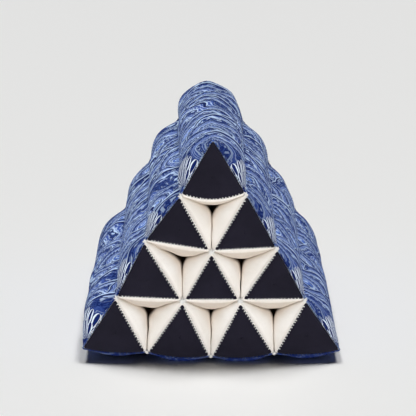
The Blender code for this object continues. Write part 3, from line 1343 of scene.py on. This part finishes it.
@dataclass
class Cover:
    """The printed cloth over the slopes and under the base."""

    across: int = 30
    lengthwise: int = 120
    crowding: float = 0.88
    stand: float = 0.0012
    thickness: float = 0.0010
    off_floor: float = 0.0002
    hem_turn: tuple[tuple[float, float], ...] = ((-0.0010, -0.0012), (-0.0013, 0.0), (-0.0007, 0.0011))
    hem: float = 0.003
    ridge_width: float = 0.030
    ridge_blur: float = 0.010
    crease_blur: float = 0.0022
    tuck_pitch: float = 0.0125
    gather_pitch: float = 0.0095
    pucker_height: float = 0.00045
    lump_size: float = 0.060
    lump_height: float = 0.0009

    def blurred(self, section: Array, reach: float, step: float) -> Array:
        """Smooths a section along itself.

        Args:
            section: (X, Z) for each Y and each step across.
            reach: the standard deviation of the bell curve that it is averaged with.
            step: distance from step to step across.

        Returns:
            The averages, with the section turned about its end points beyond them, which holds
            both ends in place.
        """
        count = max(1, int(3 * reach / step))
        taps = np.arange(-count, count + 1)
        kernel = np.exp(-0.5 * (taps * step / reach) ** 2)
        kernel /= kernel.sum()
        padded = np.concatenate([
            2 * section[:, :1] - section[:, count:0:-1],
            section,
            2 * section[:, -1:] - section[:, -2:-count - 2:-1],
        ], axis=1)
        width = section.shape[1]
        return sum(w * padded[:, k:k + width] for k, w in enumerate(kernel))

    def walls(self, sides: Sequence[tuple[int, int, Side]], y: Array) -> Array:
        """The outer walls of some channels as one strip.

        Args:
            sides: row, place and side of each wall, in the order of the strip.
            y: places along the cushion.

        Returns:
            (X, Z) for each Y and each step across. A wall on a slope runs the other way from
            its channel's section, so that the strip climbs the left slope and falls the right.
        """
        along = np.linspace(0, 1, self.across + 1)
        strips = []
        for row, place, side in sides:
            wall = LATTICE.wall(row, place, side, y, along)
            strips.append(wall[:, ::-1] if side is not Side.BASE else wall)
        return np.concatenate([strip[:, :-1] for strip in strips] + [strips[-1][:, -1:]], axis=1)

    def hemmed(self, body: Array, normal: Array) -> Array:
        """Adds the turned hem at both ends.

        Args:
            body: the cover as a grid of places, its rows along Y.
            normal: its outward normals.

        Returns:
            The grid with a few rows more in front of it and behind it, which roll inwards.
        """
        rows = []
        for end, edge in ((End.FRONT, 0), (End.BACK, -1)):
            flat = normal[edge].copy()
            flat[:, 1] = 0
            flat = unit(flat)
            turned = []
            for ahead, out in self.hem_turn:
                row = body[edge] + (out - self.stand) * flat
                row[:, 1] = end.value * (LATTICE.length / 2 - ahead)
                turned.append(row)
            rows.append(turned if end is End.FRONT else turned[::-1])
        return np.concatenate([np.array(rows[0]), body, np.array(rows[1])])

    def puckered(self, body: Array, normal: Array, seed: int) -> Array:
        """Works out the cover's small unevenness.

        Args:
            body: the cover as a grid of places.
            normal: its outward normals.
            seed: picks the unevenness.

        Returns:
            Moves along the normal: waves along the creases and across the ends, which fade
            away from them, plus smooth lumps.
        """
        depth = LATTICE.depth(body[..., 1])
        share = (np.arange(body.shape[1]) / self.across) % 1.0
        gap = np.minimum(share, 1 - share)[None] * LATTICE.side
        waver = soft_noise(body, 0.025, seed)
        tuck = np.sin(2 * math.pi * body[..., 1] / self.tuck_pitch + 2.0 * waver)
        tuck *= self.pucker_height * np.exp(-gap / 0.010) * np.clip(depth / 0.015, 0, 1)
        column = np.arange(body.shape[1])[None] * LATTICE.side / self.across
        gather = np.sin(2 * math.pi * column / self.gather_pitch + 1.8 * waver)
        gather *= self.pucker_height * np.exp(-np.abs(depth - self.hem) / 0.008)
        lumps = soft_noise(body * np.array([1.0, 0.5, 1.0]), self.lump_size, seed + 1)
        lumps *= self.lump_height * np.clip(depth / 0.02, 0, 1) * np.clip(gap / 0.012, 0, 1)
        return (tuck + gather + lumps)[..., None] * normal

    def strip(self, name: str, sides: Sequence[tuple[int, int, Side]], ridge: bool,
              start: float, seed: int) -> bpy.types.Object:
        """Builds one strip of the cover.

        Args:
            name: the piece's name.
            sides: the walls that it covers.
            ridge: whether the strip passes over the ridge, which it rounds.
            start: the strip's first cloth coordinate across.
            seed: picks the unevenness.

        Returns:
            The piece, a sheet with its turned hems.
        """
        y = end_stations(LATTICE.length, self.lengthwise, self.crowding)
        section = self.walls(sides, y)
        step = LATTICE.side / self.across
        section = self.blurred(section, self.crease_blur, step)
        if ridge:
            middle = section.shape[1] // 2
            off = (np.arange(section.shape[1]) - middle) * step
            near = np.exp(-((off / self.ridge_width) ** 4))[None, :, None]
            near = near * swell(LATTICE.depth(y), self.ridge_width)[:, None, None]
            section = section + near * (self.blurred(section, self.ridge_blur, step) - section)
        body = to_space(section, y)
        normal = surface_normals(body, wrap=False)
        if not ridge:
            normal = -normal
        body = body + self.stand * normal + self.puckered(body, normal, seed)
        points = self.hemmed(body, normal)
        points[..., 2] = np.maximum(points[..., 2], self.thickness + self.off_floor)
        steps = np.linalg.norm(np.diff(points, axis=0), axis=2).mean(axis=1)
        flat_v = np.concatenate([[0], steps.cumsum()])
        flat_v *= BluePrint.length / flat_v[-1]
        flat_u = start + np.arange(points.shape[1]) * BluePrint.column / self.across
        if not ridge:
            points, flat_u = points[:, ::-1], flat_u[::-1]
        piece = grid_piece(name, points, spans=(flat_v, flat_u))
        give_thickness(piece, self.thickness)
        return piece

    def dress(self, piece: bpy.types.Object, print_cloth: bpy.types.Material, node: str,
              lobes: int) -> None:
        """Puts the print on and tells the frame what the piece is.

        Args:
            piece: the strip.
            print_cloth: its finish.
            node: the solid that it stands for.
            lobes: how many walls it covers; not used.
        """
        piece.data.materials.append(print_cloth)
        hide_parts(node)
        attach(piece, ROOT)


@dataclass
class Stitching:
    """Whip stitches round the caps of one end, and the knots where channels meet."""

    end: End
    slant: float = 0.0016
    radius: float = 0.00095
    edge_share: float = 0.5
    unevenness: float = 0.0002
    knot_radius: float = 0.0013
    rim_knot: float = 0.0036
    full_knot: float = 0.0062
    pocket_arch: tuple[tuple[float, float], ...] = (
        (-0.0022, 0.0008), (-0.0016, 0.0016), (-0.0008, 0.0021),
        (0.0006, 0.0022), (0.0018, 0.0014), (0.0026, 0.0002),
    )
    outer_arch: tuple[tuple[float, float], ...] = (
        (-0.0024, 0.0008), (-0.0014, 0.0016), (-0.0002, 0.0022),
        (0.0014, 0.0024), (0.0026, 0.0014), (0.0032, -0.0004),
    )

    def stitches(self, inner: bool) -> Array:
        """Paths of the stitches along the inner or the outer edges of every cap.

        Args:
            inner: whether the edges are those beside the open pockets.

        Returns:
            Threads by points by (X, Y, Z): each starts on the cap, arches over the rim and
            goes down on the far side of it, a little further along the edge.
        """
        draw = np.random.default_rng(31 if inner else 37)
        paths = []
        for row in range(1, LATTICE.rows + 1):
            for place in range(row):
                cap = Cap(row, place, self.end)
                corners = cap.drawn_in(cap.corners(), cap.insets())
                for index, side in enumerate(Side):
                    open_side = LATTICE.tip(row, place, side) is not None
                    if open_side is inner:
                        bow = LATTICE.bow(row, place, side)
                        ends = corners[index], corners[(index + 1) % 3]
                        paths.append(self.edge_paths(*ends, bow, inner, draw))
        return np.concatenate(paths)

    def edge_paths(self, start: Array, stop: Array, bow: float, inner: bool,
                   draw: np.random.Generator) -> Array:
        """Places the stitches along one edge of a cap.

        Args:
            start: (X, Z) where the edge starts.
            stop: (X, Z) where it stops.
            bow: how far it bows out in the middle.
            inner: whether it lies beside an open pocket.
            draw: gives the unevenness.

        Returns:
            Threads by points by (X, Y, Z): one stitch in each notch of the drawn-in edge but
            the first and the last, each an arch over the edge that leans along it.
        """
        run = stop - start
        length = float(np.linalg.norm(run))
        ahead = run / length
        outward = np.array([ahead[1], -ahead[0]])
        whole = round(length / Cap.stitch)
        at = length * (np.arange(whole)[1:-1] + 0.5) / whole
        count = len(at)
        at = at + draw.normal(0, self.unevenness, count)
        lift = bow * (1 - (2 * at / length - 1) ** 2)
        out, stand = np.array(self.pocket_arch if inner else self.outer_arch).T
        jitter = 1 + 0.12 * draw.normal(size=(count, 1))
        across = out[None] * jitter + lift[:, None]
        astray = 0.2 * draw.normal(size=(count, 1))
        lean = self.slant * (np.linspace(-0.5, 0.5, len(out))[None] + astray)
        flat = start + (at[:, None] + lean)[..., None] * ahead + across[..., None] * outward
        y = self.end.value * (LATTICE.length / 2 + np.broadcast_to(stand, flat.shape[:2]))
        return np.stack([flat[..., 0], y, flat[..., 1]], axis=-1)

    def knots(self) -> Array:
        """Places the crossed threads that tie the channels together.

        Returns:
            Threads by points by (X, Y, Z): a few at each seam, spread round the half circle,
            each a parabola that stands out from the end.
        """
        draw = np.random.default_rng(41)
        plane = np.array([self.end.value * LATTICE.length / 2])
        paths = []
        for row in range(1, LATTICE.rows + 1):
            for place in range(row + 1):
                if row == LATTICE.rows and place in (0, row):
                    continue
                at = LATTICE.seam(row, place, plane)[0]
                rim = place in (0, row) or row == LATTICE.rows
                count = 3 if rim else 4
                for turn in (np.arange(count) + draw.uniform(-0.2, 0.2, count)) * math.pi / count:
                    way = np.array([math.cos(turn), math.sin(turn)])
                    half = (self.rim_knot if rim else self.full_knot) * draw.uniform(0.8, 1.2)
                    t = np.linspace(-1, 1, 6)
                    side = np.array([-way[1], way[0]]) * draw.normal(0, 0.0004)
                    flat = at + side + half * t[:, None] * way
                    y = self.end.value * (LATTICE.length / 2 + 0.0004 + 0.0022 * (1 - t**2))
                    paths.append(np.stack([flat[:, 0], y, flat[:, 1]], axis=-1))
        return np.array(paths)

    def build(self, cream: bpy.types.Material, dark: bpy.types.Material) -> None:
        """Builds and dresses the stitches and the knots.

        Args:
            cream: the thread beside the open pockets and in the knots.
            dark: the thread along the printed cover.
        """
        name = self.end.name.lower()
        for words, paths, radius, thread in (
            ("rim_stitches", self.stitches(True), self.radius, cream),
            ("edge_stitches", self.stitches(False), self.radius * self.edge_share, dark),
            ("corner_knots", self.knots(), self.knot_radius, cream),
        ):
            piece = thread_piece(f"{name}_{words}", paths, radius)
            piece.data.materials.append(thread)
            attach(piece, ROOT)


@dataclass
class Studio:
    """The floor, the light and the camera."""

    distance: float = 2.861
    pitch: float = math.radians(17.16)
    lens: float = 160.9615
    sensor: float = 36.0
    aim: tuple[float, float, float] = (-0.0055, -0.245, 0.254)
    sun_tilt: float = math.radians(9.5)
    sun_lean: float = math.radians(11.0)
    sun_spread: float = math.radians(13.0)
    sun_strength: float = 1.44
    sky_strength: float = 0.03
    floor_half: float = 12.0
    wall_radius: float = 11.5
    wall_height: float = 9.0

    def build(self) -> None:
        """Makes the floor, the backdrop, the lamps, the sky and the camera."""
        self.floor()
        self.backdrop()
        self.sun("left_window", self.sun_lean)
        self.sun("right_window", -self.sun_lean)
        low, back = (0, -0.2, 0.14), (0, 0.2, 0.14)
        self.lamp("front_fill", (-0.2, -4.2, 0.22), low, (2.4, 0.36), 36.0)
        self.lamp("left_fill", (-2.7, -2.6, 0.24), low, (1.2, 0.4), 45.0)
        self.lamp("right_fill", (2.7, -2.6, 0.24), low, (1.2, 0.4), 49.0)
        self.lamp("back_fill", (0.4, 4.2, 0.30), back, (3.0, 0.4), 60.0)
        self.sky()
        self.camera()

    def sky(self) -> None:
        """Makes the faint, even light of the room."""
        world = bpy.data.worlds.new("pale_room")
        world.use_nodes = True
        sky = world.node_tree.nodes["Background"]
        sky.inputs["Color"].default_value = (0.93, 0.95, 1.0, 1.0)
        sky.inputs["Strength"].default_value = self.sky_strength
        bpy.context.scene.world = world
        bpy.context.scene.view_settings.view_transform = "Standard"

    def camera(self) -> None:
        """Makes the camera, which looks down at its aim from straight in front."""
        camera = bpy.data.cameras.new("camera")
        camera.lens = self.lens
        camera.sensor_width = self.sensor
        camera.clip_end = 50.0
        stand = bpy.data.objects.new("camera", camera)
        x, y, z = self.aim
        away = self.distance * math.cos(self.pitch)
        stand.location = (x, y - away, z + self.distance * math.sin(self.pitch))
        stand.rotation_euler = (math.pi / 2 - self.pitch, 0, 0)
        bpy.context.scene.collection.objects.link(stand)
        bpy.context.scene.camera = stand

    def floor(self) -> None:
        """Makes a wide, plain, pale floor just under the cushion."""
        grid = np.linspace(-self.floor_half, self.floor_half, 5)
        x, y = np.meshgrid(grid, grid)
        points = np.stack([x, y, np.full_like(x, -0.0002)], axis=-1)
        piece = grid_piece("floor", points[:, ::-1])
        net = Net("pale_floor")
        piece.data.materials.append(
            net.finish(Base_Color=(0.91, 0.91, 0.90), Roughness=0.55, Specular_IOR_Level=0.3)
        )

    def backdrop(self) -> None:
        """Makes a pale round wall far away, which neither lights nor shades anything."""
        turn = np.linspace(0, 2 * math.pi, 96, endpoint=False)
        x, y = self.wall_radius * np.cos(turn), self.wall_radius * np.sin(turn)
        levels = (-0.1, self.wall_height)
        points = np.stack([np.stack([x, y, np.full_like(x, z)], axis=-1) for z in levels])
        piece = grid_piece("backdrop", points, wrap=True)
        net = Net("pale_backdrop")
        piece.data.materials.append(
            net.finish(Base_Color=(0.0, 0.0, 0.0), Roughness=1.0, Specular_IOR_Level=0.0,
                       Emission_Color=(0.80, 0.81, 0.82), Emission_Strength=1.0)
        )
        piece.visible_diffuse = False
        piece.visible_glossy = False
        piece.visible_transmission = False
        piece.visible_shadow = False

    def keep_fills_off_floor(self) -> None:
        """Lets the low lamps light the cushion alone, so the shadow under it stays deep."""
        lit = bpy.data.collections.new("lit_by_fills")
        for piece in bpy.context.scene.objects:
            if piece.type == "MESH" and piece.name not in ("floor", "backdrop"):
                lit.objects.link(piece)
        for stand in bpy.context.scene.objects:
            if stand.type == "LIGHT" and stand.data.type == "AREA":
                stand.light_linking.receiver_collection = lit

    def sun(self, name: str, lean: float) -> None:
        """Adds a soft light from almost straight above, which leans in from behind.

        Args:
            name: the light's name.
            lean: how far it also leans in from one side, as an angle.
        """
        light = bpy.data.lights.new(name, "SUN")
        light.angle = self.sun_spread
        light.energy = self.sun_strength
        stand = bpy.data.objects.new(name, light)
        stand.location = (0, 0.5, 3.0)
        stand.rotation_euler = (-self.sun_tilt, lean, 0)
        bpy.context.scene.collection.objects.link(stand)

    def lamp(self, name: str, place: tuple[float, float, float],
             aim: tuple[float, float, float], size: tuple[float, float], power: float) -> None:
        """Adds one soft, wide and low lamp.

        Args:
            name: the lamp's name.
            place: where it stands.
            aim: the point that it looks at.
            size: its width and height.
            power: its power in watts.
        """
        light = bpy.data.lights.new(name, "AREA")
        light.shape = "RECTANGLE"
        light.size, light.size_y = size
        light.energy = power
        stand = bpy.data.objects.new(name, light)
        stand.location = place
        way = np.array(place) - np.array(aim)
        flat = math.hypot(way[0], way[1])
        stand.rotation_euler = (math.atan2(flat, way[2]), 0, math.atan2(way[0], -way[1]))
        bpy.context.scene.collection.objects.link(stand)


def main() -> None:
    """Builds the cushion piece by piece round the frame."""
    logging.basicConfig(level=logging.INFO, format="%(message)s")
    studio = Studio()
    studio.build()
    cream, navy = CREAM_COTTON.material(), NAVY_COTTON.material()
    print_cloth = BluePrint().material()
    for row in range(1, LATTICE.rows + 1):
        for place in range(row):
            channel = Channel(row, place)
            channel.dress(channel.build(), cream)
            for end in End:
                cap = Cap(row, place, end)
                cap.dress(cap.build(), navy)
            LOG.info("channel %d_%d and its caps", row, place)
    cover = Cover()
    slopes = [(row, 0, Side.LEFT) for row in range(LATTICE.rows, 0, -1)]
    slopes += [(row, row - 1, Side.RIGHT) for row in range(1, LATTICE.rows + 1)]
    reach = LATTICE.rows * BluePrint.column
    over = cover.strip("slope_print", slopes, ridge=True, start=-reach, seed=3)
    cover.dress(over, print_cloth, "cover_slopes", 2 * LATTICE.rows)
    base = [(LATTICE.rows, place, Side.BASE) for place in range(LATTICE.rows)]
    under = cover.strip("base_print", base, ridge=False, start=reach, seed=5)
    cover.dress(under, print_cloth, "cover_base", LATTICE.rows)
    LOG.info("printed cover")
    threads = CREAM_THREAD.material(), DARK_THREAD.material()
    for end in End:
        Stitching(end).build(*threads)
    LOG.info("stitching")
    studio.keep_fills_off_floor()


if __name__ == "__main__":
    main()
